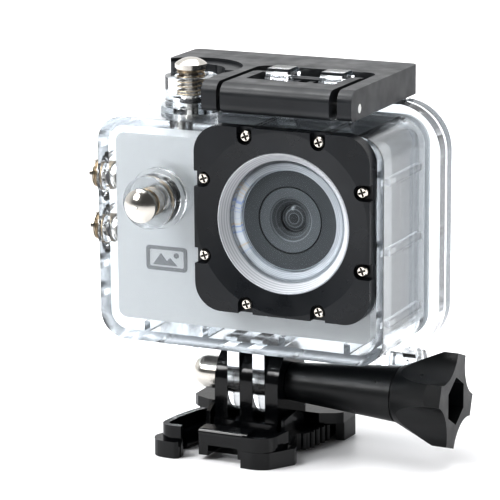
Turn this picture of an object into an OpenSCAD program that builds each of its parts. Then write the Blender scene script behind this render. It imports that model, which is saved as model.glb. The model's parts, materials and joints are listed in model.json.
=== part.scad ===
// Action camera in a clear waterproof housing, on a quick-release buckle with a thumbscrew pivot.
// Frame: +X is to the right seen from the front, -Y is the lens side, +Z is up. Millimetres.
// The origin is on the floor, under the middle of the pivot screw.

/* [Pivot] */
// Height of the pivot screw's axis above the floor
pivot_z = 14; // [12:0.5:16]
// Thickness of each of the five fingers
finger_t = 3; // [2.8:0.1:3.2]
// Gap on each side of a housing finger
side_gap = 0.08; // [0.05:0.01:0.1]
// Radius of the rounded finger ends
finger_r = 7.5; // [7:0.1:8]
// Radius of the pivot screw's steel shank
bolt_r = 2.45; // [2.4:0.01:2.5]

/* [Housing] */
// Width of the housing's front box
box_w = 66.3; // [64:0.1:68]
// Height of the housing's front box
box_h = 49.2; // [48:0.1:52]
// Sideways offset of the box from the pivot
box_cx = 1.15; // [0:0.05:2]
// Height of the underside of the front box
box_z0 = 23.3; // [22:0.1:25]
// Thickness of the clear walls
wall = 2; // [1.6:0.1:2.4]
// Corner radius of the front box
box_r = 6; // [5.5:0.1:7]
// How far the rear flange stands out around the box
flange_out = 3.5; // [2.5:0.1:4]

/* [Camera] */
// Width of the camera body
cam_w = 59.3; // [58:0.1:60]
// Height of the camera body
cam_h = 41.1; // [40:0.1:42]
// Depth from the silver face to the screen side
cam_d = 23; // [22:0.1:23.5]

/* [Lens port] */
// Width and height of the square black frame
bezel_w = 40; // [38:0.5:41]
// Thickness of the square black frame
bezel_t = 3.3; // [2.5:0.1:3.6]
// Radius of the clear port window
port_r = 15.1; // [14:0.1:16]
// Sideways place of the lens axis
lens_x = 12.9; // [12:0.1:14]
// Height of the lens axis
lens_z = 53.1; // [52:0.1:54]

/* [Buttons] */
// How far each button travels
press = 1.3; // [1:0.1:1.3]
// Radius of the sliding button stems
stem_r = 1.5; // [1.4:0.05:1.6]

/* [Latch] */
// Height of the flat top of the latch
latch_top = 82; // [81:0.1:83]
// Height of the latch's underside
latch_low = 75.6; // [75.5:0.1:76]

/* [Hidden] */
$fn = 64;
fit = 0.05;
eps = 0.01;
box_x0 = box_cx - box_w / 2;
box_x1 = box_cx + box_w / 2;
box_z1 = box_z0 + box_h;
front_y = -13.5;
inner_y = front_y + wall;
flange_y0 = 10;
flange_y1 = 13.2;
flange_low = 2.9;
flange_high = 2.7;
door_y0 = 14.2;
door_y1 = 16.9;
cam_y0 = -11;
cam_y1 = cam_y0 + cam_d;
cam_split = -3.5;
cam_wall = 1.4;
cam_cz = 48.25;
cam_x0 = box_cx - cam_w / 2;
cam_x1 = box_cx + cam_w / 2;
cam_z0 = cam_cz - cam_h / 2;
cam_z1 = cam_cz + cam_h / 2;
mic_y = -7.5;
led_r = 0.85;
led_place = [26.4, cam_y1, 61];
pad_t = 0.6;
pad_y = front_y - pad_t;
bezel_y = pad_y - bezel_t;
screw_far = 18.04;
screw_near = 8.31;
recess_r = 1.7;
head_r = 1.32;
hinge_y = 15.2;
hinge_z = 17;
hinge_r = 2.9;
hinge_bar_r = 1.35;
hinge_x = 26;
bar_y = 1.5;
bar_z = 79.5;
bar_r = 1.75;
pin_y = -11.2;
pin_z = 77.8;
pin_r = 1;
nut_af = 8;
nut_depth = 2.2;
key_r = 3.05;
// squeeze arms: top of the thumb tabs, height of their wider lower tier, and the root pin
tab_top = 6.9;
tab_step = 3.7;
arm_top = 4.2;
arm_root = [12.6, 7.2];
arm_root_r = 1.5;
// thumbscrew: where the handle starts, steps and ends, and its radii
handle_x0 = 7.65;
step_x = 32.6;
knob_x1 = 45.7;
handle_r0 = 4.15;
handle_r1 = 6.05;
knob_r = 10.5;
lobe_turn = -20;
// latch: the lever between the two arms of the bail
lever_x = [-1.1, 23.6];
bail_x = [-6, 28.1];
bail_left = bail_x[0] + 3.5;
bail_right = bail_x[1] - 3.2;

// Each button: place on the wall, boss height, spring floor, underside of the cap, cap height and
// radius, how far below the wall's outer face the camera's key lies, and the radii of the boss and
// its bore.
function shutter() = [[-17.2, front_y, 55.6], 6, 2.4, 6.8 + press, 2.9, 3.65, 2.5, 5.7, 3.1];
function power() = [[-16, 0, box_z1], 7.5, 3.7, 7.7 + press, 2.5, 3.5, box_z1 - cam_z1, 5.75, 3.6];
function side(z) = [[box_x0, -7, z], 1.6, 0.4, 1.8 + press, 2.1, 3, cam_x0 - box_x0, 4.6, 3];
side_upper_z = 58.2;
side_lower_z = 46.5;

// ---- Shared shapes ----

// Local +Z points out of the front (-Y), out of the left wall (-X), or out of the rear (+Y).
module on_front(p) translate(p) rotate([90, 0, 0]) children();
module on_left(p) translate(p) rotate([0, -90, 0]) children();
module on_rear(p) translate(p) rotate([-90, 0, 0]) children();
module along_x(x, y, z) translate([x, y, z]) rotate([0, 90, 0]) children();

// A rectangle with round corners, given by its two corners.
module round_rect(x0, x1, z0, z1, r) {
    translate([x0 + r, z0]) square([x1 - x0 - 2 * r, z1 - z0]);
    translate([x0, z0 + r]) square([x1 - x0, z1 - z0 - 2 * r]);
    for (x = [x0 + r, x1 - r], z = [z0 + r, z1 - r]) translate([x, z]) circle(r);
}

// The same outline standing in the XZ plane and filling y0 to y1.
module slab(x0, x1, z0, z1, r, y0, y1)
    translate([0, y1, 0]) rotate([90, 0, 0]) linear_extrude(y1 - y0) round_rect(x0, x1, z0, z1, r);

// The housing's outline, grown by g (or shrunk when g is negative).
module box_slab(g, y0, y1)
    slab(box_x0 - g, box_x1 + g, box_z0 - g, box_z1 + g, max(1, box_r + g), y0, y1);

// The outline that the flange, the gasket and the door share, shrunk by g.
module flange_slab(g, y0, y1)
    slab(box_x0 - flange_out + g, box_x1 + flange_out - g, box_z0 - flange_low + g,
        box_z1 + flange_high - g, 10.5 - g, y0, y1);

module cam_slab(g, y0, y1, r = 2)
    slab(cam_x0 + g, cam_x1 - g, cam_z0 + g, cam_z1 - g, r, y0, y1);

// A profile drawn in the YZ plane and extruded along X from x0 to x1.
module yz_bar(x0, x1) translate([x0, 0, 0]) rotate([90, 0, 90]) linear_extrude(x1 - x0) children();

module torus(major, minor) rotate_extrude() translate([major, 0]) circle(minor, $fn = 24);

// Children at the eight screw places of the square frame.
module at_bezel_screws()
    for (turn = [0, 90, 180, 270], side = [-1, 1])
        on_front([lens_x, 0, lens_z]) rotate([0, 0, turn]) translate([side * screw_near, screw_far, 0])
            children();

// ---- Buttons, from the one set of numbers each ----

// Height of the floor of the O-ring's gland, and of the recess for the stem's collar.
function gland_top(b) = b[2] - 0.8;
function collar_low(b) = 0.9 - b[6];

module button_boss(b) {
    cylinder(r = b[7], h = b[1]);
    cylinder(r = b[7] + 0.9, h = min(1.2, b[1] * 0.5));
}

module button_bores(b) {
    translate([0, 0, b[2]]) cylinder(r = b[8], h = b[1]);
    translate([0, 0, -wall - 1]) cylinder(r = stem_r + fit, h = b[1] + wall + 2);
    translate([0, 0, -wall - eps]) cylinder(r = 2.7, h = gland_top(b) + wall + eps);
    translate([0, 0, -wall - 1]) cylinder(r = 3.1, h = max(0.1, collar_low(b) + 0.8 + wall) + 1);
}

module plunger(b) {
    cap_r = b[5];
    dome = b[4] * 0.55;
    ball = (cap_r * cap_r + dome * dome) / (2 * dome);
    translate([0, 0, collar_low(b)]) cylinder(r = 2.85, h = 0.7);
    translate([0, 0, collar_low(b)]) cylinder(r = stem_r, h = b[3] - collar_low(b) + 0.5);
    translate([0, 0, b[3] + 0.3]) cylinder(r = cap_r, h = b[4] - dome - 0.3);
    translate([0, 0, b[3]]) cylinder(r = cap_r - 0.3, h = 0.3);
    translate([0, 0, b[3] + b[4] - dome]) intersection() {
        translate([0, 0, dome - ball]) sphere(ball, $fn = 96);
        cylinder(r = cap_r, h = dome + 1);
    }
}

// A stack of turns as closed rings joined by short bridges stands for the coil spring.
module coil(b) {
    wire = 0.28;
    coil_r = 1.95;
    turns = 5;
    low = b[2] + wire;
    rise = (b[3] - b[2] - 2 * wire) / (turns - 1);
    for (i = [0 : turns - 1]) translate([0, 0, low + i * rise]) torus(coil_r, wire);
    for (i = [0 : turns - 2]) rotate([0, 0, i * 150]) translate([coil_r, 0, low + i * rise])
        cylinder(r = wire * 0.8, h = rise, $fn = 24);
}

module o_ring(b) {
    minor = 0.55;
    translate([0, 0, gland_top(b) - minor]) torus(stem_r + fit + minor, minor);
}

module camera_key(b) translate([0, 0, -b[6] - 1.6]) {
    cylinder(r = key_r, h = 1.6);
    translate([0, 0, -0.8]) cylinder(r = key_r - 1.2, h = 1);
}

module key_hole(b) translate([0, 0, -b[6] - 4]) cylinder(r = key_r + 0.1, h = 5);

// Places a button piece on the left wall at height z.
module side_piece(z, shade) color(shade) on_left(side(z)[0]) children();

// ---- Buckle ----

module finger(x0, x1) {
    along_x(x0, 0, pivot_z) cylinder(r = finger_r, h = x1 - x0);
    translate([x0, -finger_r, 2]) cube([x1 - x0, 2 * finger_r, pivot_z - 2]);
}

// Points on an arc from angle a0 to a1.
function arc(centre, r, a0, a1, steps = 8) =
    [for (i = [0 : steps]) let (a = a0 + (a1 - a0) * i / steps) centre + r * [cos(a), sin(a)]];

// Outline of a wall of thickness t that follows a path.
function path_side(path, i) =
    let (d = path[min(i + 1, len(path) - 1)] - path[max(i - 1, 0)]) [-d[1], d[0]] / norm(d);
function wall_outline(path, t) = concat(
    [for (i = [0 : len(path) - 1]) path[i] + path_side(path, i) * t / 2],
    [for (i = [len(path) - 1 : -1 : 0]) path[i] - path_side(path, i) * t / 2]);

// Rear corner block on the right, which holds the root pin of the squeeze arm.
module corner_block() {
    linear_extrude(tab_top) polygon([[7, 9.2], [15.7, 9.2], [15.7, 5.3], [17.6, 5.7], [18, 11], [7, 11]]);
    translate([0, 0, arm_top + 0.3]) linear_extrude(tab_top - arm_top - 0.3)
        polygon([[7, 1.6], [13.3, 1.6], [16.8, 3.1], [18, 4.3], [18, 10.8], [7, 10.8]]);
}

// Front bar between the two tabs, on a pair of short legs.
module front_loop() {
    loop_x = [-6, 5.4];
    front = -18.9;
    leg_w = 2.2;
    translate([loop_x[0], front, 3.4]) cube([loop_x[1] - loop_x[0], 1.9, 3]);
    translate([loop_x[0], front + 0.7, 5.7]) cube([loop_x[1] - loop_x[0], 3.2, tab_top - 5.7]);
    along_x(loop_x[0], front + 0.7, tab_top - 0.8) cylinder(r = 0.8, h = loop_x[1] - loop_x[0], $fn = 32);
    for (x = [loop_x[0], loop_x[1] - leg_w]) {
        translate([x, front, 1.1]) cube([leg_w, 3.9, 3]);
        translate([x, front + 3, 1.1]) cube([leg_w, 5, 2.2]);
    }
}

module buckle_body() color("#0d0e10") difference() {
    union() {
        translate([-8.2, -13, 0]) cube([16.4, 29.5, 3.4]);
        for (s = [0, 1]) mirror([s, 0, 0]) {
            corner_block();
            // grooved rail that slides into the mount
            translate([7, 10, 1.2]) cube([5.6, 6.5, 2.2]);
        }
        translate([-finger_r, -finger_r - 0.6, 3]) cube([2 * finger_r, 2 * finger_r + 1.6, 3]);
        front_loop();
        // rear stop ridge
        translate([-8.2, 14.3, 3]) cube([16.4, 2.2, 2.6]);
        for (i = [-1 : 1]) finger(i * 2 * finger_t - finger_t / 2, i * 2 * finger_t + finger_t / 2);
    }
    along_x(-20, 0, pivot_z) cylinder(r = bolt_r + 0.1, h = 40);
    along_x(-finger_t * 2.5 - 1, 0, pivot_z) rotate([0, 0, 30]) cylinder(d = (nut_af + 0.1) / cos(30),
        h = nut_depth + 1, $fn = 6);
    for (s = [0, 1]) mirror([s, 0, 0]) translate([arm_root[0], arm_root[1], -1])
        cylinder(r = arm_root_r + 0.1, h = 7);
}

// Rear half of a squeeze arm, on the right: the root pin, the ribbed finger grip and the raised fin.
module arm_grip() {
    translate([arm_root[0], arm_root[1], 0.4]) cylinder(r = arm_root_r, h = 5.2);
    translate([0, 0, 0.6]) linear_extrude(arm_top - 0.6)
        polygon([[11.2, 8.6], [10.2, 4.5], [9.4, 0], [9.3, -6], [10.4, -10], [11.2, -14], [12.8, -14],
            [12, -9.6], [11.4, -6.2], [13.5, -4.5], [14.2, -0.4], [15, 4], [14.2, 8.2]]);
    for (p = [[12.6, -5.2], [13.7, -3.2], [14, -1.2], [14.4, 0.8], [14.8, 2.8]])
        translate([p[0], p[1], 0.6]) cylinder(r = 0.55, h = arm_top - 0.6);
    translate([9.4, -8, 0]) rotate([0, 0, -8.6]) yz_bar(-0.9, 0)
        polygon([[0, 3.9], [0, 7.4], [4.8, 8.5], [7.6, 7.2], [8.6, 3.9]]);
}

// Each tab is a hooked upper wall on a wider lower tier.
module right_squeeze_arm() color("#111214") {
    arm_grip();
    linear_extrude(tab_step) polygon(concat([[4.8, -20.9]], arc([7.2, -15], 6, -90, -50),
        [[14.6, -14.4], [14.3, -12.8], [11, -12.6], [10.4, -15.4], [7.2, -19.9], [4.8, -19.9]]));
    linear_extrude(tab_top) polygon(wall_outline(concat([[4.9, -20.35]], arc([7.6, -16.6], 3.75, -90, -8),
        [[11.9, -12.8]]), 1.1));
}

module left_squeeze_arm() color("#111214") {
    mirror([1, 0, 0]) arm_grip();
    linear_extrude(tab_step) polygon(concat(arc([-13.6, -17.6], 3.3, 165, 270),
        [[-11, -20.9], [-10.2, -20.3], [-10.2, -18.5], [-12.6, -17.2], [-12, -12], [-14.4, -11.4]]));
    linear_extrude(tab_top) polygon(wall_outline(concat([[-11.6, -4.6], [-12.9, -8], [-14, -12.2]],
        arc([-12.7, -17], 1.8, 178, 275), [[-10.2, -18.5]]), 1.4));
}

module acorn_nut() color("#d8d2c6") difference() {
    union() {
        along_x(-finger_t * 2.5 - 0.6, 0, pivot_z) rotate([0, 0, 30])
            cylinder(d = nut_af / cos(30), h = nut_depth + 0.5, $fn = 6);
        along_x(-12.3, 0, pivot_z) cylinder(r = 3.65, h = 4.4);
        intersection() {
            translate([-12.3, 0, pivot_z]) sphere(3.65, $fn = 96);
            along_x(-15.5, 0, pivot_z) cylinder(r = 3.65, h = 3.3);
        }
    }
    along_x(-13.4, 0, pivot_z) cylinder(r = bolt_r + 0.06, h = 12);
}

// ---- Thumbscrew ----

// Four lobes with flat tips and hollow flanks between them, as seen along the axis.
module knob_outline(r) {
    difference() {
        circle(r);
        for (i = [0 : 3]) rotate([0, 0, lobe_turn + 45 + i * 90]) translate([r * 1.42, 0]) circle(r * 0.78);
        for (i = [0 : 3]) rotate([0, 0, lobe_turn + i * 90]) translate([r * 0.955, -r]) square([r, 2 * r]);
    }
}

module thumbscrew_handle() color("#17181a") difference() {
    union() {
        along_x(handle_x0, 0, pivot_z) cylinder(r1 = handle_r0, r2 = handle_r1, h = step_x - handle_x0);
        along_x(step_x - 0.6, 0, pivot_z) cylinder(r = handle_r1 - 0.25, h = 1.6);
        intersection() {
            along_x(step_x + 0.5, 0, pivot_z) cylinder(r1 = handle_r1 + 0.1, r2 = knob_r + 1.4, h = 13);
            along_x(step_x + 0.5, 0, pivot_z) linear_extrude(knob_x1 - step_x - 0.5) knob_outline(knob_r);
        }
        along_x(step_x + 0.5, 0, pivot_z) cylinder(r = handle_r1 + 0.1, h = 7);
    }
    along_x(knob_x1 - 5, 0, pivot_z) cylinder(d = 9.1 / cos(30), h = 6, $fn = 6);
    along_x(handle_x0 - 1, 0, pivot_z) cylinder(r = bolt_r, h = 13.5);
}

module thumbscrew_bolt() color("#c9c9c6")
    along_x(-13.2, 0, pivot_z) cylinder(r = bolt_r, h = 13.2 + handle_x0 + 12.4);

// ---- Clear housing ----

// A finger centred on x, of the given half thickness.
module housing_finger(x, half) {
    along_x(x - half, 0, pivot_z) cylinder(r = finger_r, h = 2 * half);
    translate([x - half, -finger_r, pivot_z]) cube([2 * half, 2 * finger_r, box_z0 - pivot_z + 1]);
}

// Ear that carries the door's hinge bar.
module hinge_ear(x0, x1) yz_bar(x0, x1) {
    translate([hinge_y, hinge_z]) circle(hinge_r);
    polygon([[10.3, 21], [13.1, 21], [14.6, 19.8], [15.2, 17], [12.5, 16]]);
}

module hinge_ears(x) {
    hinge_ear(x - 5, x - 2);
    hinge_ear(x + 2, x + 5);
    along_x(x - 2.5, hinge_y, hinge_z) cylinder(r = hinge_bar_r, h = 5);
}

// Hook that holds the lever's cross bar from behind and above.
module latch_lug(x0, x1) yz_bar(x0, x1) {
    difference() {
        union() {
            polygon([[-2.3, bar_z - 1], [-2.3, bar_z + 1.6], [-1, bar_z + 3.4], [3.6, bar_z + 3.4],
                [5.2, bar_z + 2], [5.2, box_z1 - 0.5], [3.35, box_z1 - 0.5], [3.35, bar_z - 1]]);
        }
        translate([bar_y, bar_z]) circle(bar_r + fit);
        translate([-4, box_z1 + 1]) square([7.35, bar_z - box_z1 - 2.2]);
    }
    polygon([[3.4, box_z1 - 0.5], [3.4, box_z1 + 2.6], [0.6, box_z1 - 0.5]]);
}

module side_ribs() {
    for (z = [62, 47, 31.5]) translate([box_x1 - wall - 1.35, -8, z - 0.7]) cube([1.5, 18, 1.4]);
    for (z = [65, 52.35, 38, 31.5]) translate([box_x0 + wall - 0.15, -8, z - 0.7]) cube([1.5, 18, 1.4]);
    for (x = [-22, -8, 10, 25]) translate([x, inner_y - eps, box_z0 + wall - 0.1]) cube([1.4, 21, 2.3]);
    for (x = [4, 18]) translate([x, inner_y - eps, box_z1 - wall - 1.6]) cube([1.4, 21, 1.7]);
}

module housing_front() color("#dfe9ee", 0.45) {
    difference() {
        union() {
            box_slab(0, front_y, flange_y0 + 1);
            flange_slab(0, flange_y0, flange_y1);
            slab(lens_x - bezel_w / 2, lens_x + bezel_w / 2, lens_z - bezel_w / 2, box_z1 - 0.2, 5.5,
                pad_y, front_y + 1);
            on_front(shutter()[0]) button_boss(shutter());
            translate(power()[0]) button_boss(power());
            for (z = [side_upper_z, side_lower_z]) on_left(side(z)[0]) button_boss(side(z));
            for (s = [-1, 1]) housing_finger(s * finger_t, finger_t / 2 - side_gap);
            for (x = [box_cx - hinge_x, box_cx + hinge_x]) hinge_ears(x);
            latch_lug(2.5, 7.5);
            latch_lug(15, 20);
        }
        box_slab(-wall, inner_y, flange_y1 + 1);
        on_front([lens_x, 0, lens_z]) cylinder(r = 13.3, h = 20);
        on_front([lens_x, pad_y + 0.7, lens_z]) difference() {
            cylinder(r = 14.65, h = 1);
            translate([0, 0, -1]) cylinder(r = 13.75, h = 3);
        }
        on_front(shutter()[0]) button_bores(shutter());
        translate(power()[0]) button_bores(power());
        for (z = [side_upper_z, side_lower_z]) on_left(side(z)[0]) button_bores(side(z));
        at_bezel_screws() cylinder(r = 0.82, h = 20);
        along_x(-12, 0, pivot_z) cylinder(r = bolt_r + 0.1, h = 24);
    }
    side_ribs();
}

// Sunk window with a funnel-shaped rim in front and a skirt behind that widens towards the lens.
module port_window() color("#e4eef2", 0.5) on_front([lens_x, 0, lens_z]) rotate_extrude($fn = 128)
    polygon([[0, 13.3], [0, 14.5], [13.2, 14.5], [14.8, 16.6], [port_r, 16.4], [port_r, 14.15],
        [13.2, 14.15], [13.2, 11.7], [11.25, 11.7], [12.4, 13.3]]);

module port_seal() color("#24262a")
    on_front([lens_x, 0, lens_z]) translate([0, 0, 13.78]) torus(14.2, 0.34);

module lens_bezel() color("#1b1d20") difference() {
    slab(lens_x - bezel_w / 2, lens_x + bezel_w / 2, lens_z - bezel_w / 2, lens_z + bezel_w / 2, 6,
        bezel_y, pad_y);
    on_front([lens_x, 0, lens_z]) {
        cylinder(r = port_r + 0.05, h = 20);
        translate([0, 0, -bezel_y - 0.8]) cylinder(r1 = port_r + 0.05, r2 = 19.5 + 0.65, h = 0.9);
    }
    at_bezel_screws() {
        translate([0, 0, -bezel_y - 1.6]) cylinder(r = recess_r, h = 3);
        translate([-recess_r, 0, -bezel_y - 1.6]) cube([2 * recess_r, 4, 3]);
        cylinder(r = 0.82, h = 20);
    }
}

module bezel_screws() color("#c9c4ba") at_bezel_screws() difference() {
    union() {
        translate([0, 0, -bezel_y - 1.6]) cylinder(r = head_r, h = 0.65);
        translate([0, 0, -bezel_y - 0.95]) cylinder(r1 = head_r, r2 = 0.95, h = 0.45);
        translate([0, 0, -inner_y + 0.2]) cylinder(r = 0.8, h = -bezel_y - 1.5 + inner_y);
    }
    for (turn = [20, 110])
        rotate([0, 0, turn]) translate([-0.85, -0.21, -bezel_y - 1]) cube([1.7, 0.42, 1]);
}

// ---- Latch ----

module latch_lever() color("#2c2e31") difference() {
    union() {
        yz_bar(lever_x[0], lever_x[1]) {
            translate([-15, latch_low + 2]) circle(2);
            translate([-14.5, latch_top - 2.5]) circle(2.5);
            translate([-15, latch_low]) square([6, 4]);
            translate([-17, latch_low + 2]) square([8, 2]);
            translate([-14.5, latch_low + 2]) square([5.5, latch_top - latch_low - 2]);
        }
        for (x = [lever_x[0], lever_x[1] - 2.4]) yz_bar(x, x + 2.4) {
            translate([bar_y, bar_z]) circle(2.3);
            translate([-10, bar_z - 2.3]) square([10 + bar_y, 4.6]);
            translate([-10, bar_z]) square([10, latch_top - bar_z]);
        }
        along_x(0, bar_y, bar_z) cylinder(r = bar_r, h = 22.5);
        translate([8.2, bar_y - 1.6, bar_z - 1.5]) cube([6, 3.2, 3]);
        for (x = [8.8, 12.2]) translate([x, -10, bar_z - 2]) cube([1.4, 10.5, 3.2]);
    }
    along_x(-5, pin_y, pin_z) cylinder(r = pin_r + 0.06, h = 35);
    // thumb lip under the front edge
    translate([2, -13.6, latch_low - 1]) cube([18.6, 4, 1.9]);
}

module latch_bail() color("#2b2d30") difference() {
    union() {
        // rear plate with round corners
        translate([0, 0, latch_low]) linear_extrude(latch_top - latch_low)
            round_rect(-25, 28.1, 7, 21.5, 1.5);
        for (x = [[bail_x[0], bail_left], [bail_right, bail_x[1]]]) yz_bar(x[0], x[1]) {
            translate([-13.4, latch_top - 2.4]) circle(2.4);
            translate([-14.4, latch_low + 1.4]) circle(1.4);
            translate([-13.4, latch_low]) square([22, latch_top - latch_low - 2.4]);
            translate([-13.4, latch_low]) square([22, latch_top - latch_low]);
            translate([-15.8, latch_low + 1.4]) square([3, latch_top - latch_low - 3.8]);
        }
        translate([-13, 2, latch_low]) cube([8, 8, latch_top - latch_low]);
        // round inner corners of the opening
        corner_web(bail_left, 1);
        corner_web(bail_right, -1);
        // slanted hook behind the door's lip
        yz_bar(-20, 26) polygon([[15.3, latch_low + eps], [17.6, latch_low - 1.65], [19.6, latch_low - 1.65],
            [20.6, latch_low + eps]]);
    }
    translate([power()[0][0], power()[0][1], 70]) cylinder(r = 7.4, h = 20);
    translate([power()[0][0], power()[0][1], latch_top - 0.7]) cylinder(r = 11.2, h = 5);
    along_x(-5.2, pin_y, pin_z) cylinder(r = pin_r, h = 40);
}

// Fills the inner corner at x with a fillet that faces along dir.
module corner_web(x, dir) {
    r = 2.6;
    translate([x, 7, latch_low]) mirror([dir < 0 ? 1 : 0, 0, 0]) linear_extrude(latch_top - latch_low)
        polygon(concat([[-1, 1], [-1, -r]], arc([r, -r], r, 180, 90), [[r, 1]]));
}

module bail_pin() color("#cfcfca") along_x(-5.15, pin_y, pin_z) cylinder(r = pin_r, h = 33.2);

// ---- Door ----

// Open clip that snaps on the housing's hinge bar.
module door_clip(x) difference() {
    yz_bar(x - 1.85, x + 1.85) {
        translate([hinge_y, hinge_z]) circle(hinge_r);
        polygon([[hinge_y - 1, hinge_z], [door_y0, 20.8], [door_y1, 20.8], [hinge_y + hinge_r, hinge_z]]);
    }
    along_x(x - 3, hinge_y, hinge_z) cylinder(r = hinge_bar_r + fit, h = 6);
    translate([x - 3, hinge_y, hinge_z]) rotate([45, 0, 0]) translate([0, -1.1, -4]) cube([6, 2.2, 4]);
}

module back_door() color("#dfe9ee", 0.45) {
    difference() {
        flange_slab(0, door_y0, door_y1);
        // slanted lip under the latch's hook
        yz_bar(-22, 28) polygon([[15.43, box_z1 + flange_high + eps], [16.9 + eps, 74.13], [18, 74],
            [18, 77]]);
    }
    difference() {
        box_slab(-wall - 1.75, door_y0 - 2.1, door_y0 + 0.1);
        box_slab(-wall - 3.2, door_y0 - 3, door_y0 + 1);
    }
    for (x = [box_cx - hinge_x, box_cx + hinge_x]) door_clip(x);
}

module door_gasket() color("#f2f4f5") difference() {
    union() {
        box_slab(0, flange_y1 + 0.05, door_y0);
        box_slab(-wall - 0.3, door_y0 - 2.1, door_y0);
    }
    box_slab(-wall - 1.75, flange_y0, door_y0 + 1);
}

// ---- Camera ----

// Hollow half shell, open towards the other half.
module half_shell(y0, y1, open_front) difference() {
    cam_slab(0, y0, y1);
    cam_slab(cam_wall, open_front ? y0 - 1 : y0 + cam_wall, open_front ? y1 - cam_wall : y1 + 1, 1);
}

module camera_keys_holes() {
    on_front(shutter()[0]) key_hole(shutter());
    translate(power()[0]) key_hole(power());
    for (z = [side_upper_z, side_lower_z]) on_left(side(z)[0]) key_hole(side(z));
}

module camera_front_shell() color("#d9dcdf") difference() {
    half_shell(cam_y0, cam_split, false);
    on_front([lens_x, 0, lens_z]) cylinder(r = 9.05, h = 20);
    camera_keys_holes();
    for (i = [-1 : 1]) translate([24 + i * 1.6, mic_y, cam_z1 - 3]) cylinder(r = 0.4, h = 10);
}

module camera_rear_shell() color("#c3c7cb") difference() {
    half_shell(cam_split, cam_y1, true);
    camera_keys_holes();
    slab(box_cx - 21.55, box_cx + 21.55, 32.45, 64.05, 1, cam_y1 - 2, cam_y1 + 1);
    translate([-19, -0.1, cam_z0 - 1]) cube([39.2, 9.2, 4]);
    translate([cam_x1 - 3, 1.4, 44.9]) cube([4, 6.2, 15.2]);
    for (i = [-2 : 2]) translate([18 + i * 1.8, 4, cam_z1 - 3]) cylinder(r = 0.5, h = 5);
    on_rear(led_place) translate([0, 0, -3]) cylinder(r = led_r + fit, h = 5);
    for (x = [cam_x0 + 3.4, cam_x1 - 3.4], z = [cam_z0 + 3.4, cam_z1 - 3.4])
        translate([x, cam_y1 + 1, z]) rotate([90, 0, 0]) cylinder(r = 0.82, h = 12);
}

// Generic landscape pictogram: a frame with a sun and two peaks.
module front_emblem() color("#74797e") on_front([-16.6, cam_y0, 41.8]) linear_extrude(0.12) {
    difference() {
        round_rect(-4.9, 4.9, -2.7, 2.7, 0.8);
        round_rect(-4.1, 4.1, -1.9, 1.9, 0.4);
    }
    translate([2.3, 0.8]) circle(0.6);
    polygon([[-3.3, -1.5], [-1.4, 1.1], [0, -0.6], [0.8, 0.2], [2.5, -1.5]]);
}

module lens_ring() color("#2b2d31") on_front([lens_x, 0, lens_z]) rotate_extrude($fn = 128)
    polygon([[10.95, 11], [10.95, 11.9], [10.7, 12.2], [7.3, 12.1], [7.15, 11.85], [7, 12], [4.9, 11.75],
        [4.6, 11.45], [3.05, 10.2], [3.05, 9.4], [8.95, 9.4], [8.95, 11]]);

module lens_barrel() color("#1a1b1d") on_front([lens_x, 0, lens_z]) rotate_extrude()
    polygon([[2.7, 9.4], [6.5, 9.4], [6.5, 3.2], [7.4, 3.2], [7.4, 1.4], [4.5, 1.4], [4.5, 3.2], [2.7, 4]]);

module lens_cap_shape(r, sag, t) intersection() {
    ball = (r * r + sag * sag) / (2 * sag);
    translate([0, 0, sag - ball]) sphere(ball, $fn = 96);
    translate([0, 0, -t]) cylinder(r = r, h = t + sag + 1);
}

module front_lens_element() color("#39424d", 0.8)
    on_front([lens_x, -9.4, lens_z]) lens_cap_shape(3, 0.9, 0);

module rear_lens_element() color("#39424d", 0.8)
    on_front([lens_x, -7, lens_z]) lens_cap_shape(2.65, 0.7, 0.6);

module image_sensor() color("#243a3a")
    translate([lens_x - 3.2, -1.4, lens_z - 2.7]) cube([6.4, 0.8, 5.4]);

module sensor_board() color("#1f5c3a")
    slab(lens_x - 8, lens_x + 8, lens_z - 8, lens_z + 8, 1, -0.6, 0.4);

module main_board() color("#1d4f34") difference() {
    slab(cam_x0 + 2.2, cam_x1 - 2.2, 38.5, cam_z1 - 2.2, 1, 8.2, 9.2);
    for (x = [cam_x0 + 3.4, cam_x1 - 3.4]) translate([x, 12, cam_z1 - 3.4]) rotate([90, 0, 0])
        cylinder(r = 1.4, h = 8);
}

module lcd_screen() color("#0b0d10")
    slab(box_cx - 21.5, box_cx + 21.5, 32.5, 64, 1, cam_y1 - 1.6, cam_y1);

module battery() color("#3b4a5a") translate([-17.4, 0.4, cam_z0 + 2.2]) cube([35.6, 7.6, 8.2]);

module battery_door() color("#c3c7cb") translate([-18.9, 0, cam_z0]) {
    cube([39, 9, 1.4]);
    translate([16, 2.4, -0.3]) cube([7, 4, 0.4]);
}

module memory_card() color("#17191c") translate([-24, 1, cam_z0 + 2.2]) cube([0.8, 6.4, 11]);

module speaker() color("#3a3c40") translate([18, 4, cam_z1 - 3.6]) cylinder(r = 3.6, h = 2);

module microphone() color("#9b8f70")
    translate([24, mic_y, cam_z1 - cam_wall - 1]) cylinder(r = 1.6, h = 0.9);

module port_cover() color("#9fa3a8")
    translate([cam_x1 - 1.4, 1.5, 45]) cube([1.4, 6, 15]);

module status_led() color("#6fa8d8")
    on_rear(led_place) translate([0, 0, -cam_wall]) cylinder(r = led_r, h = cam_wall);

module case_screws() color("#8d9094")
    for (x = [cam_x0 + 3.4, cam_x1 - 3.4], z = [cam_z0 + 3.4, cam_z1 - 3.4])
        translate([x, cam_y1, z]) rotate([90, 0, 0]) cylinder(r = 0.8, h = 6);

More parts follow.
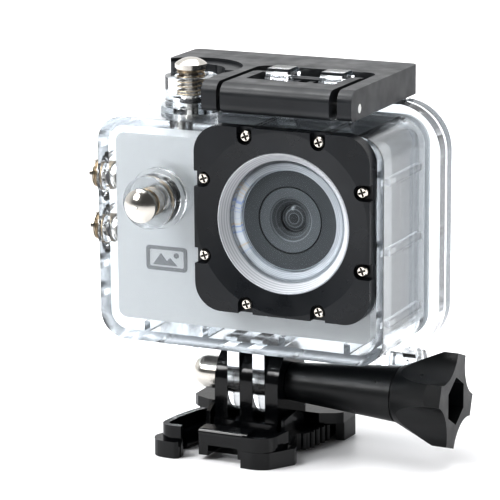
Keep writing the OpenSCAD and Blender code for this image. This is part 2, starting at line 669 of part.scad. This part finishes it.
buckle_body();
left_squeeze_arm();
right_squeeze_arm();
acorn_nut();
thumbscrew_handle();
thumbscrew_bolt();
housing_front();
port_window();
port_seal();
lens_bezel();
bezel_screws();
color("#d8d2c6") on_front(shutter()[0]) plunger(shutter());  // shutter_plunger
color("#b9b4a8") on_front(shutter()[0]) coil(shutter());  // shutter_spring
color("#141414") on_front(shutter()[0]) o_ring(shutter());  // shutter_o_ring
color("#d8d2c6") translate(power()[0]) plunger(power());  // power_plunger
color("#b9b4a8") translate(power()[0]) coil(power());  // power_spring
color("#141414") translate(power()[0]) o_ring(power());  // power_o_ring
side_piece(side_upper_z, "#d8d2c6") plunger(side(0));  // upper_side_plunger
side_piece(side_upper_z, "#b9b4a8") coil(side(0));  // upper_side_spring
side_piece(side_upper_z, "#141414") o_ring(side(0));  // upper_side_o_ring
side_piece(side_lower_z, "#d8d2c6") plunger(side(0));  // lower_side_plunger
side_piece(side_lower_z, "#b9b4a8") coil(side(0));  // lower_side_spring
side_piece(side_lower_z, "#141414") o_ring(side(0));  // lower_side_o_ring
latch_lever();
latch_bail();
bail_pin();
back_door();
door_gasket();
camera_front_shell();
camera_rear_shell();
front_emblem();
lens_ring();
lens_barrel();
front_lens_element();
rear_lens_element();
image_sensor();
sensor_board();
main_board();
lcd_screen();
battery();
battery_door();
memory_card();
color("#85898d") on_front(shutter()[0]) camera_key(shutter());  // camera_shutter_key
color("#85898d") translate(power()[0]) camera_key(power());  // camera_power_key
side_piece(side_upper_z, "#85898d") camera_key(side(0));  // camera_upper_side_key
side_piece(side_lower_z, "#85898d") camera_key(side(0));  // camera_lower_side_key
speaker();
microphone();
port_cover();
status_led();
case_screws();
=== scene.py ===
"""Action camera in a clear waterproof housing: looks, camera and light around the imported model."""

import json
import math

import bmesh
import bpy
from mathutils import Matrix, Vector


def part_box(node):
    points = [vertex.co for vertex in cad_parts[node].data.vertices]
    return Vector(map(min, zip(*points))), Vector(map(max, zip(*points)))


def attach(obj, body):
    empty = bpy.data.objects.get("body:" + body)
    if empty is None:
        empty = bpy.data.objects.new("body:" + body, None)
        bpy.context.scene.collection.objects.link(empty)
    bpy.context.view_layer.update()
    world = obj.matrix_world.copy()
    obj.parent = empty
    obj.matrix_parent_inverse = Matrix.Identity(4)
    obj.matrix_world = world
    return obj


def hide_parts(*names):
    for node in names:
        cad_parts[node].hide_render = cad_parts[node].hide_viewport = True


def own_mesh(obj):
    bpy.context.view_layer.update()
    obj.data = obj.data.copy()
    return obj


MM = 0.001
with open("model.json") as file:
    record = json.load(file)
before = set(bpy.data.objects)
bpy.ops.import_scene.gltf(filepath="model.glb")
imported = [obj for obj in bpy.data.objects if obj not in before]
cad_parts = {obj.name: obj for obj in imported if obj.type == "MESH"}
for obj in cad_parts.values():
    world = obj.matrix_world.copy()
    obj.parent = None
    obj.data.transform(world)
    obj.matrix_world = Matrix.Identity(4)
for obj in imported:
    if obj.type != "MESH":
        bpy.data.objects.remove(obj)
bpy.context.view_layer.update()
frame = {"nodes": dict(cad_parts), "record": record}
NODES = frame["nodes"]
SLOTS = {part["node"]: part["material_slot"] for part in frame["record"]["subparts"]}

# ---------------------------------------------------------------- node trees


class Nodes:
    """A short way to build a node tree around one Principled shader."""

    def __init__(self, name, **settings):
        self.material = bpy.data.materials.new(name)
        self.material.use_nodes = True
        self.tree = self.material.node_tree
        self.shader = self.tree.nodes["Principled BSDF"]
        self.output = self.tree.nodes["Material Output"]
        self.place = self.add("ShaderNodeTexCoord").outputs["Object"]
        for key, value in settings.items():
            self.shader.inputs[key.replace("_", " ")].default_value = value

    def add(self, kind, inputs=None, **attributes):
        node = self.tree.nodes.new(kind)
        for key, value in attributes.items():
            setattr(node, key, value)
        for key, value in (inputs or {}).items():
            if hasattr(value, "is_output"):
                self.tree.links.new(value, node.inputs[key])
            else:
                node.inputs[key].default_value = value
        return node

    def compute(self, operation, *values):
        """The result of a Math node on numbers or sockets."""
        return self.add("ShaderNodeMath", dict(enumerate(values)), operation=operation).outputs[0]

    def noise(self, per_mm, detail=4.0, rough=0.55, stretch=(1, 1, 1), seed=0.0):
        """Noise from 0 to 1 with about per_mm blotches in a millimetre."""
        offset = (seed, seed * 0.7, seed * 1.3)
        mapped = self.add(
            "ShaderNodeMapping",
            {"Vector": self.place, "Scale": [s / MM for s in stretch], "Location": offset},
        )
        return self.add(
            "ShaderNodeTexNoise",
            {"Vector": mapped.outputs[0], "Scale": per_mm, "Detail": detail, "Roughness": rough},
        ).outputs["Fac"]

    def spread(self, value, low, high, from_low=0.3, from_high=0.7):
        """A value remapped from the middle of its range to low and high."""
        return self.add(
            "ShaderNodeMapRange",
            {"Value": value, "From Min": from_low, "From Max": from_high, "To Min": low, "To Max": high},
        ).outputs[0]

    def blend(self, factor, a, b):
        """Colour a at factor 0 and b at 1, where each is three numbers or a socket."""
        node = self.add("ShaderNodeMix", data_type="RGBA")
        self.tree.links.new(factor, node.inputs[0])
        for socket, colour in ((6, a), (7, b)):
            if hasattr(colour, "is_output"):
                self.tree.links.new(colour, node.inputs[socket])
            else:
                node.inputs[socket].default_value = (*colour, 1)
        return node.outputs[2]

    def ramp(self, value, stops, interpolation="LINEAR"):
        """A colour that depends on a value, from a list of positions and colours."""
        node = self.add("ShaderNodeValToRGB", {0: value})
        steps = node.color_ramp
        steps.interpolation = interpolation
        for _ in stops[2:]:
            steps.elements.new(0.5)
        for element, (position, colour) in zip(steps.elements, stops):
            element.position = position
            element.color = (*colour, 1)
        return node.outputs[0]

    def drive(self, socket, value):
        self.tree.links.new(value, self.shader.inputs[socket])

    def bump(self, height, depth_mm):
        node = self.add("ShaderNodeBump", {"Height": height, "Distance": depth_mm * MM})
        self.tree.links.new(node.outputs[0], self.shader.inputs["Normal"])

    def mix_shaders(self, factor, first, second):
        """The first shader at factor 0 and the second at 1."""
        node = self.add("ShaderNodeMixShader", {0: factor})
        self.tree.links.new(first.outputs[0], node.inputs[1])
        self.tree.links.new(second.outputs[0], node.inputs[2])
        return node

    def send(self, shader, socket):
        """Makes the shader the material's Surface or Volume."""
        self.tree.links.new(shader.outputs[0], self.output.inputs[socket])


# ---------------------------------------------------------------- plastics, metals and paint

# The slant of the lines on the camera's sides, and the wave scale that sets them 0.87 mm apart.
HATCH_SLANT = math.radians(35)
HATCH_SCALE = 0.36


def scaled(colour, factor):
    """A darker or lighter colour."""
    return [min(1, c * factor) for c in colour]


def moulded(name, colour, rough, grain=0.012, per_mm=5.0, vary=0.25, **settings):
    """Moulded plastic: fine grain, slow colour drift and uneven gloss."""
    m = Nodes(name, Roughness=rough, **settings)
    drift = m.noise(per_mm=0.08, detail=3)
    tone = m.blend(m.spread(drift, 0, 1), scaled(colour, 1 - vary), scaled(colour, 1 + vary))
    m.drive("Base Color", tone)
    fine = m.noise(per_mm, detail=1, seed=3)
    smudge = m.noise(per_mm=0.22, detail=3, rough=0.5, seed=9)
    m.drive("Roughness", m.spread(smudge, rough * 0.8, rough * 1.25))
    m.bump(m.compute("MULTIPLY_ADD", smudge, 0.4, fine), grain)
    return m.material


def metal(name, colour, rough, scratch=0.004, shaded_recess=None):
    """Polished or turned metal with hair scratches and faint clouding. The last argument is a node and a
    depth in millimetres behind its front, past which the colour is darkened as painted shade in the recess."""
    m = Nodes(name, Metallic=1.0, Roughness=rough)
    cloud = m.noise(per_mm=0.5, detail=5, seed=2)
    tone = m.blend(m.spread(cloud, 0, 1), scaled(colour, 0.88), colour)
    # Painted shade: deeper than the given depth behind the node's front, the colour turns nearly black.
    if shaded_recess:
        node, depth = shaded_recess
        along = m.add("ShaderNodeSeparateXYZ", {0: m.place}).outputs["Y"]
        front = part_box(node)[0][1]
        behind = m.compute("GREATER_THAN", along, front + depth * MM)
        tone = m.blend(behind, tone, scaled(colour, 0.08))
    m.drive("Base Color", tone)
    lines = m.noise(per_mm=2.2, detail=6, rough=0.8, stretch=(1, 1, 14), seed=5)
    m.drive("Roughness", m.spread(lines, rough * 0.6, rough * 1.7))
    m.bump(lines, scratch)
    return m.material


def silicone(name, colour):
    """Milky silicone that glows with the light behind it."""
    m = Nodes(name, Roughness=0.4)
    cloud = m.noise(per_mm=0.3, detail=3)
    m.drive("Base Color", m.blend(cloud, scaled(colour, 0.95), colour))
    glow = m.add("ShaderNodeBsdfTranslucent", {"Color": (*colour, 1)})
    m.send(m.mix_shaders(0.5, m.shader, glow), "Surface")
    return m.material


def hatched(name, colour):
    """Grey moulded body with fine slanted lines pressed into it."""
    m = Nodes(name, Roughness=0.5)
    turned = {"Vector": m.place, "Rotation": (HATCH_SLANT, 0, 0), "Scale": (1 / MM,) * 3}
    mapped = m.add("ShaderNodeMapping", turned)
    lines = m.add(
        "ShaderNodeTexWave",
        {"Vector": mapped.outputs[0], "Scale": HATCH_SCALE, "Distortion": 0.4, "Detail": 1.0},
        bands_direction="Y",
    ).outputs["Fac"]
    m.drive("Base Color", m.blend(lines, scaled(colour, 0.45), colour))
    m.bump(lines, depth_mm=0.04)
    return m.material


def painted(name, colour):
    """Satin silver paint: fine flakes under an even coat."""
    m = Nodes(name, Metallic=0.35, Roughness=0.34, Coat_Weight=0.25, Coat_Roughness=0.2)
    flakes = m.noise(per_mm=5, detail=1, rough=0.8)
    m.drive("Base Color", m.blend(m.spread(flakes, 0, 1), scaled(colour, 0.93), colour))
    m.drive("Roughness", m.spread(m.noise(per_mm=0.15, seed=8), 0.3, 0.4))
    m.bump(flakes, depth_mm=0.002)
    return m.material


# ---------------------------------------------------------------- clear plastic

CLEAR_IOR = 1.49
CLEAR_ROUGH = 0.09
CLEAR_TINT = (0.965, 0.985, 1.0)
# The tint that light takes on along its way inside the plastic, and how fast it does, per mm.
DEEP_TINT = (0.755, 0.77, 0.785)
DEEP_PER_MM = 0.045
# The part of the lamps' light that goes straight through each face.
LAMP_PASS = 0.95


def glass_nodes(name, rough):
    """A node tree whose shader is clear plastic with a faint ripple."""
    m = Nodes(name, Roughness=rough, IOR=CLEAR_IOR, Transmission_Weight=1.0)
    m.shader.inputs["Base Color"].default_value = (*CLEAR_TINT, 1)
    m.bump(m.noise(per_mm=0.12, detail=3, seed=4), depth_mm=0.003)
    return m


def let_lamps_through(m, surface):
    """Light from the lamps passes straight through the surface, so what is behind it isn't in the dark."""
    lamp = m.add("ShaderNodeBsdfTransparent", {"Color": (*scaled(CLEAR_TINT, LAMP_PASS), 1)})
    path = m.add("ShaderNodeLightPath")
    m.send(m.mix_shaders(path.outputs["Is Shadow Ray"], surface, lamp), "Surface")


def clear(name):
    """Clear moulded polycarbonate, darker at the edges, where light goes a long way inside it."""
    m = glass_nodes(name, CLEAR_ROUGH)
    inside = {"Color": (*DEEP_TINT, 1), "Density": DEEP_PER_MM / MM}
    m.send(m.add("ShaderNodeVolumeAbsorption", inside), "Volume")
    let_lamps_through(m, m.shader)
    return m.material


# ---------------------------------------------------------------- port and lens

# The clear port in millimetres: its pane reaches out to PANE_FRONT_R in front, and to PANE_BACK_R behind
# the plane y = PANE_BACK. The rest is a funnel rim and a skirt, shaded pale and milky as a painted
# reflection of the bright light that the clear plastic carries there.
PANE_FRONT_R = 13.15
PANE_BACK_R = 11.0
PANE_BACK = -13.35
# Dark and light tones of the fine rings on the skirt and on the funnel rim, pale as painted reflection, and
# the rings' period in mm.
SKIRT_TONES = ((0.56, 0.57, 0.59), (0.76, 0.77, 0.785))
FUNNEL_TONES = ((0.64, 0.655, 0.68), (0.86, 0.87, 0.89))
PORT_GROOVE = 0.36
# Painted glints: the skirt's faint streaks of colour and white, which stand in for light split and caught
# by the clear plastic and lie round this direction from its middle, the side the light comes from.
GLINT_SIDE = (-1, 0, 0.05)
GLINT_BLUE = (0.60, 0.70, 0.95)
GLINT_WHITE = (0.95, 0.96, 0.98)
GLINT_AMBER = (0.98, 0.86, 0.72)
GLINT_HUES = [(0.36, GLINT_BLUE), (0.44, GLINT_WHITE), (0.58, GLINT_WHITE), (0.64, GLINT_AMBER)]
# How milky the pale parts are that stand in for reflected light, how much of that lets light through, and
# how glossy the coated pane is.
MILKY = 0.8
MILKY_GLOW = 0.35
PANE_GLOSS = 0.05

# Radius in millimetres at which each tone starts, on the lens ring and on the lens inside it. On the ring,
# the pale bands from 4.5 mm and from 10.65 mm are painted highlights on a step and on the chamfer.
RING_TONES_AND_HIGHLIGHTS = [(0, 0.08), (3.7, 0.13), (3.95, 0.09), (4.5, 0.19), (4.75, 0.118), (6.95, 0.045), (7.3, 0.080),
              (10.65, 0.5), (11, 0.5)]
# Painted reflections: the pale rings on the lens stand in for reflections in its coated glass.
LENS_TONES_AND_REFLECTIONS = [(0, 0.04), (1.05, 0.15), (1.25, 0.06), (1.8, 0.16), (2.05, 0.07), (2.6, 0.18), (2.85, 0.09),
              (3, 0.09)]


def around_lens(m, node):
    """The place across the lens from the node's middle, the place along Y in the frame, and the radius."""
    low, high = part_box(node)
    middle = [-(a + b) / 2 for a, b in zip(low, high)]
    middle[1] = 0
    centred = m.add("ShaderNodeVectorMath", {0: m.place, 1: middle}, operation="ADD").outputs[0]
    along = m.add("ShaderNodeSeparateXYZ", {0: centred}).outputs
    flat = m.add("ShaderNodeCombineXYZ", {"X": along["X"], "Z": along["Z"]}).outputs[0]
    radius = m.add("ShaderNodeVectorMath", {0: flat}, operation="LENGTH").outputs["Value"]
    return flat, along["Y"], radius


def grooves(m, radius, period_mm):
    """Fine rings round the lens, from 0 to 1."""
    turns = m.compute("MULTIPLY", radius, 2 * math.pi / (period_mm * MM))
    return m.spread(m.compute("SINE", turns), 0, 1, -1, 1)


def streaks(m, way, count, seed):
    """Noise that changes only with the angle round the lens."""
    place = m.add("ShaderNodeMapping", {"Vector": way, "Location": (seed, 0, seed)}).outputs[0]
    return m.add("ShaderNodeTexNoise", {"Vector": place, "Scale": count, "Detail": 2.0}).outputs["Fac"]


def port_clear(name, node):
    """Clear window coated against reflections, with a rim and skirt shaded pale and milky as painted
    reflection, and painted glints on the skirt.
    """
    m = glass_nodes(name, 0.0)
    flat, depth, radius = around_lens(m, node)
    rim = m.compute("GREATER_THAN", radius, PANE_FRONT_R * MM)
    outside = m.compute("GREATER_THAN", radius, PANE_BACK_R * MM)
    behind = m.compute("GREATER_THAN", depth, PANE_BACK * MM)
    skirt = m.compute("MULTIPLY", outside, behind)
    # Painted reflection: where the rim and the skirt are shaded pale and milky in place of clear.
    painted_light_band = m.compute("MAXIMUM", rim, skirt)

    way = m.add("ShaderNodeVectorMath", {0: flat}, operation="NORMALIZE").outputs[0]
    # Painted glints: streaks of colour and white on the skirt's side towards the light.
    hue = m.ramp(streaks(m, way, count=17, seed=3), GLINT_HUES)
    facing = m.add("ShaderNodeVectorMath", {0: way, 1: GLINT_SIDE}, operation="DOT_PRODUCT")
    glint_mask = m.spread(facing.outputs["Value"], 0, 0.95, from_low=0.7, from_high=0.9)
    fine = grooves(m, radius, PORT_GROOVE)
    on_funnel = m.blend(fine, *FUNNEL_TONES)
    on_skirt = m.blend(glint_mask, m.blend(fine, *SKIRT_TONES), hue)
    tone = m.blend(skirt, on_funnel, on_skirt)

    pale = m.add("ShaderNodeBsdfDiffuse", {"Color": tone})
    glow = m.add("ShaderNodeBsdfTranslucent", {"Color": tone})
    milky = m.mix_shaders(MILKY_GLOW, pale, glow)
    coating = {"Color": (*CLEAR_TINT, 1), "Roughness": 0.0, "IOR": CLEAR_IOR}
    coated = m.add("ShaderNodeBsdfRefraction", coating)
    pane = m.mix_shaders(PANE_GLOSS, coated, m.shader)
    let_lamps_through(m, m.mix_shaders(m.compute("MULTIPLY", painted_light_band, MILKY), pane, milky))
    return m.material


def ringed(name, node, tones, rough, groove_mm=0.9, groove_depth=0.006, shine=0.06):
    """Turned black ring or coated lens: fine grooves round it, and a grey for each radius in mm, some of
    them painted highlights and reflections.
    """
    m = Nodes(name, Roughness=rough, Specular_IOR_Level=shine)
    radius = around_lens(m, node)[2]
    reach = tones[-1][0]
    stops = [(start / reach, (tone, tone * 1.02, tone * 1.04)) for start, tone in tones]
    m.drive("Base Color", m.ramp(m.compute("MULTIPLY", radius, 1 / (reach * MM)), stops, "CONSTANT"))
    m.bump(grooves(m, radius, groove_mm), groove_depth)
    return m.material


# ---------------------------------------------------------------- the record's slots

MAKERS = {
    "clear_polycarbonate": clear,
    "gloss_black_plastic": lambda n: moulded(n, (0.004, 0.0045, 0.0055), 0.13, grain=0.02, per_mm=0.5),
    "thumbscrew_black": lambda n: moulded(n, (0.006, 0.007, 0.008), 0.34, grain=0.015, per_mm=6),
    "latch_graphite": lambda n: moulded(n, (0.020, 0.022, 0.025), 0.36),
    "bezel_black": lambda n: moulded(n, (0.008, 0.010, 0.013), 0.30, grain=0.006, per_mm=7),
    "silver_satin": lambda n: painted(n, (0.405, 0.41, 0.412)),
    "silver_grey": lambda n: hatched(n, (0.16, 0.17, 0.185)),
    "chrome_warm": lambda n: metal(n, (0.62, 0.60, 0.565), 0.17),
    "steel": lambda n: metal(n, (0.66, 0.66, 0.65), 0.24, scratch=0.006),
    # The screws' cross recesses get painted shade from 0.3 mm behind the heads' front.
    "nickel_screw": lambda n: metal(n, (0.80, 0.76, 0.70), 0.2, shaded_recess=("bezel_screws", 0.3)),
    "rubber_black": lambda n: moulded(n, (0.012, 0.012, 0.013), 0.55, grain=0.01),
    "silicone_white": lambda n: silicone(n, (0.96, 0.965, 0.97)),
    "lens_black": lambda n: moulded(n, (0.026, 0.028, 0.031), 0.34, grain=0.003, per_mm=1.5, vary=0.1),
    "lens_glass": lambda n: moulded(n, (0.006, 0.007, 0.012), 0.05, grain=0.0, Coat_Weight=0.5),
    "board_green": lambda n: moulded(n, (0.03, 0.18, 0.08), 0.3, grain=0.02),
    "sensor_glass": lambda n: moulded(n, (0.05, 0.12, 0.12), 0.1, grain=0.0),
    "screen_black": lambda n: moulded(n, (0.008, 0.009, 0.011), 0.08, grain=0.0),
    "battery_wrap": lambda n: moulded(n, (0.12, 0.16, 0.22), 0.35),
    "key_grey": lambda n: moulded(n, (0.22, 0.23, 0.24), 0.45),
    "print_grey": lambda n: moulded(n, (0.13, 0.135, 0.14), 0.5, vary=0.1),
    "card_black": lambda n: moulded(n, (0.02, 0.02, 0.025), 0.4),
    "led_lens": lambda n: moulded(n, (0.25, 0.45, 0.65), 0.15, grain=0.0),
}
MATERIALS = {slot: make(slot) for slot, make in MAKERS.items()}
# Nodes with a material made for their own shape, in place of their slot's.
OWN_MATERIALS = {
    "port_window": port_clear("port_clear", "port_window"),
    "lens_ring": ringed("lens_ring_turned", "lens_ring", RING_TONES_AND_HIGHLIGHTS, 0.36),
    "front_lens_element": ringed(
        "lens_coated", "front_lens_element", LENS_TONES_AND_REFLECTIONS, 0.12, groove_mm=0.5, groove_depth=0.002,
        shine=0.25,
    ),
}

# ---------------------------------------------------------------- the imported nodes

# Width in millimetres of the moulded rounding on each node's edges.
ROUNDING = {
    "buckle_body": 0.35, "left_squeeze_arm": 0.3, "right_squeeze_arm": 0.3, "acorn_nut": 0.15,
    "thumbscrew_handle": 0.35, "housing_front": 0.4, "port_window": 0.12, "lens_bezel": 0.35,
    "latch_lever": 0.55, "latch_bail": 0.55, "back_door": 0.6, "camera_front_shell": 0.5,
    "camera_rear_shell": 0.5, "shutter_plunger": 0.12, "power_plunger": 0.12, "upper_side_plunger": 0.12,
    "lower_side_plunger": 0.12, "bail_pin": 0.1, "thumbscrew_bolt": 0.1, "lens_ring": 0.1,
}
# Facets that meet at less than FLAT_ANGLE are one face, and edges sharper than EDGE_ANGLE are rounded.
FLAT_ANGLE = math.radians(1)
EDGE_ANGLE = math.radians(35)
EDGE_SEGMENTS = 3


def soften(obj, width):
    """Merges flat facets, then rounds the sharp edges as a mould does."""
    flat = obj.modifiers.new("Flat faces", "DECIMATE")
    flat.decimate_type = "DISSOLVE"
    flat.angle_limit = FLAT_ANGLE
    edge = obj.modifiers.new("Rounded edges", "BEVEL")
    edge.width = width * MM
    edge.segments = EDGE_SEGMENTS
    edge.limit_method = "ANGLE"
    edge.angle_limit = EDGE_ANGLE
    edge.harden_normals = True
    for polygon in obj.data.polygons:
        polygon.use_smooth = True


for node, obj in NODES.items():
    obj.data.materials.clear()
    obj.data.materials.append(OWN_MATERIALS.get(node, MATERIALS[SLOTS[node]]))
    if node in ROUNDING:
        soften(obj, ROUNDING[node])

# ---------------------------------------------------------------- springs

# The wire's radius, in millimetres.
WIRE_R = 0.18
SPRING_TURNS = 7
END_TURNS = 1
STEPS_PER_TURN = 30
WIRE_SIDES = 10
SPRING_METAL = metal("spring_wire", (0.40, 0.33, 0.24), 0.24)
# Each button and the way its plunger stands out.
BUTTONS = {"shutter": (0, -1, 0), "power": (0, 0, 1), "upper_side": (-1, 0, 0), "lower_side": (-1, 0, 0)}


def tube(name, points, radius):
    """A round wire through the points, with flat ends."""
    mesh = bpy.data.meshes.new(name)
    bm = bmesh.new()
    rings = []
    angles = [2 * math.pi * k / WIRE_SIDES for k in range(WIRE_SIDES)]
    across = (points[1] - points[0]).orthogonal()
    for i, point in enumerate(points):
        ahead = (points[min(i + 1, len(points) - 1)] - points[max(i - 1, 0)]).normalized()
        across = (across - ahead * across.dot(ahead)).normalized()
        up = ahead.cross(across)
        ring = [point + (across * math.cos(a) + up * math.sin(a)) * radius for a in angles]
        rings.append([bm.verts.new(p) for p in ring])
    for one, two in zip(rings, rings[1:]):
        for k in range(WIRE_SIDES):
            after = (k + 1) % WIRE_SIDES
            bm.faces.new((one[k], one[after], two[after], two[k]))
    bm.faces.new(rings[0][::-1])
    bm.faces.new(rings[-1])
    for face in bm.faces:
        face.smooth = len(face.verts) == 4
    bm.to_mesh(mesh)
    bm.free()
    obj = bpy.data.objects.new(name, mesh)
    bpy.context.scene.collection.objects.link(obj)
    return obj


def make_spring(button, outward):
    """A coil spring with closed end turns, in the place of the node's spring, which it hides."""
    node = f"{button}_spring"
    low, high = (Vector(corner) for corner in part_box(node))
    out = Vector(outward)
    height = abs((high - low).dot(out))
    foot = (low + high) / 2 - out * height / 2
    across = out.orthogonal().normalized()
    up = out.cross(across)
    wire = WIRE_R * MM
    radius = abs((high - low).dot(across)) / 2 - wire
    steps = STEPS_PER_TURN * SPRING_TURNS
    points = []
    for i in range(steps + 1):
        turn = SPRING_TURNS * i / steps
        rise = min(max((turn - END_TURNS) / (SPRING_TURNS - 2 * END_TURNS), 0), 1)
        lift = wire + rise * (height - 2 * wire)
        angle = 2 * math.pi * turn
        points.append(foot + out * lift + (across * math.cos(angle) + up * math.sin(angle)) * radius)
    spring = tube(f"{button}_coil_spring", points, wire)
    spring.data.materials.append(SPRING_METAL)
    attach(spring, "housing")
    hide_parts(node)
    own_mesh(spring)


for button, outward in BUTTONS.items():
    make_spring(button, outward)

# ---------------------------------------------------------------- camera and floor

CAMERA_AT = Vector((0.23618, -0.51294, 0.18015))
CAMERA_TARGET = Vector((-0.00228, 0.0, 0.04244))
CAMERA_ROLL = math.radians(-0.42)
LENS = 193.0
# Half the side of the square floor, which ends just short of the lamps at its left and right.
FLOOR_HALF = 0.88


def make_camera():
    data = bpy.data.cameras.new("Camera")
    data.lens = LENS
    data.sensor_width = 36
    data.clip_start = 0.01
    data.clip_end = 20
    camera = bpy.data.objects.new("Camera", data)
    bpy.context.scene.collection.objects.link(camera)
    turn = (CAMERA_TARGET - CAMERA_AT).to_track_quat("-Z", "Y").to_matrix().to_4x4()
    camera.matrix_world = Matrix.Translation(CAMERA_AT) @ turn @ Matrix.Rotation(CAMERA_ROLL, 4, "Z")
    bpy.context.scene.camera = camera


def make_floor():
    mesh = bpy.data.meshes.new("Floor")
    corners = [(x * FLOOR_HALF, y * FLOOR_HALF, 0) for x, y in ((-1, -1), (1, -1), (1, 1), (-1, 1))]
    mesh.from_pydata(corners, [], [(0, 1, 2, 3)])
    floor = bpy.data.objects.new("Floor", mesh)
    bpy.context.scene.collection.objects.link(floor)
    m = Nodes("floor_white", Roughness=0.35)
    m.shader.inputs["Base Color"].default_value = (0.9, 0.9, 0.91, 1)
    mesh.materials.append(m.material)


make_camera()
make_floor()

# ---------------------------------------------------------------- light

# The way to the dim room, and the cosines of the angle to it at which the backdrop starts to fade and at
# which only the room is left.
ROOM_SIDE = (0.37, -0.90, 0.22)
FADE_START = -0.25
FADE_END = 0.45
# How bright the backdrop and the room are, and the room as it shows through clear plastic.
BACKDROP = 1.0
ROOM = 0.12
ROOM_THROUGH_CLEAR = 0.85
# Each lamp's place, the point that it faces, its width and height, its power in watts, and whether
# reflections show it.
LAMPS = {
    "Top box": ((-0.1, 0.1, 0.9), (0, 0, 0.04), (0.9, 0.9), 6, True),
    "Edge box": ((-0.37, -0.22, 0.8), (0, 0, 0.03), (0.22, 0.22), 2.5, True),
    "Key box": ((-0.7, -0.9, 0.8), (0, 0, 0.05), (0.5, 0.5), 9, True),
    "Right box": ((0.9, -0.1, 0.35), (0, 0, 0.05), (0.3, 0.8), 2, True),
    "Back box": ((-0.4, 1.1, 0.5), (0, 0, 0.04), (0.7, 0.7), 2.2, False),
    "Left box": ((-0.9, -0.35, 0.3), (0, 0, 0.03), (0.5, 0.5), 4, False),
}
EXPOSURE = 0.27
GAMMA = 0.74
# Light runs a long way inside the clear walls before it leaves them.
BOUNCES = 28


def make_world():
    """A white backdrop behind and beside the object, and a dim room on the camera's side."""
    world = bpy.data.worlds.new("World")
    bpy.context.scene.world = world
    world.use_nodes = True
    tree = world.node_tree
    link = tree.links.new
    ray = tree.nodes.new("ShaderNodeTexCoord").outputs["Generated"]
    path = tree.nodes.new("ShaderNodeLightPath").outputs

    facing = tree.nodes.new("ShaderNodeVectorMath")
    facing.operation = "DOT_PRODUCT"
    facing.inputs[1].default_value = ROOM_SIDE
    link(ray, facing.inputs[0])

    room = tree.nodes.new("ShaderNodeMix")
    room.inputs[2].default_value = ROOM
    room.inputs[3].default_value = ROOM_THROUGH_CLEAR
    link(path["Is Transmission Ray"], room.inputs[0])

    fade = tree.nodes.new("ShaderNodeMapRange")
    fade.interpolation_type = "SMOOTHSTEP"
    for socket, value in (("From Min", FADE_START), ("From Max", FADE_END), ("To Min", BACKDROP)):
        fade.inputs[socket].default_value = value
    link(facing.outputs["Value"], fade.inputs["Value"])
    link(room.outputs[0], fade.inputs["To Max"])

    # The camera itself sees only the backdrop.
    level = tree.nodes.new("ShaderNodeMix")
    level.inputs[3].default_value = BACKDROP
    link(path["Is Camera Ray"], level.inputs[0])
    link(fade.outputs[0], level.inputs[2])

    back = tree.nodes["Background"]
    back.inputs["Color"].default_value = (1, 1, 1, 1)
    link(level.outputs[0], back.inputs["Strength"])


def make_lamp(name, at, towards, size, power, in_reflections):
    data = bpy.data.lights.new(name, "AREA")
    data.shape = "RECTANGLE"
    data.size, data.size_y = size
    data.energy = power
    lamp = bpy.data.objects.new(name, data)
    bpy.context.scene.collection.objects.link(lamp)
    lamp.location = at
    lamp.rotation_euler = (Vector(towards) - Vector(at)).to_track_quat("-Z", "Y").to_euler()
    lamp.visible_glossy = in_reflections


make_world()
for name, settings in LAMPS.items():
    make_lamp(name, *settings)

bpy.context.scene.view_settings.view_transform = "Standard"
bpy.context.scene.view_settings.exposure = EXPOSURE
bpy.context.scene.view_settings.gamma = GAMMA
bpy.context.scene.cycles.max_bounces = BOUNCES
bpy.context.scene.cycles.transmission_bounces = BOUNCES
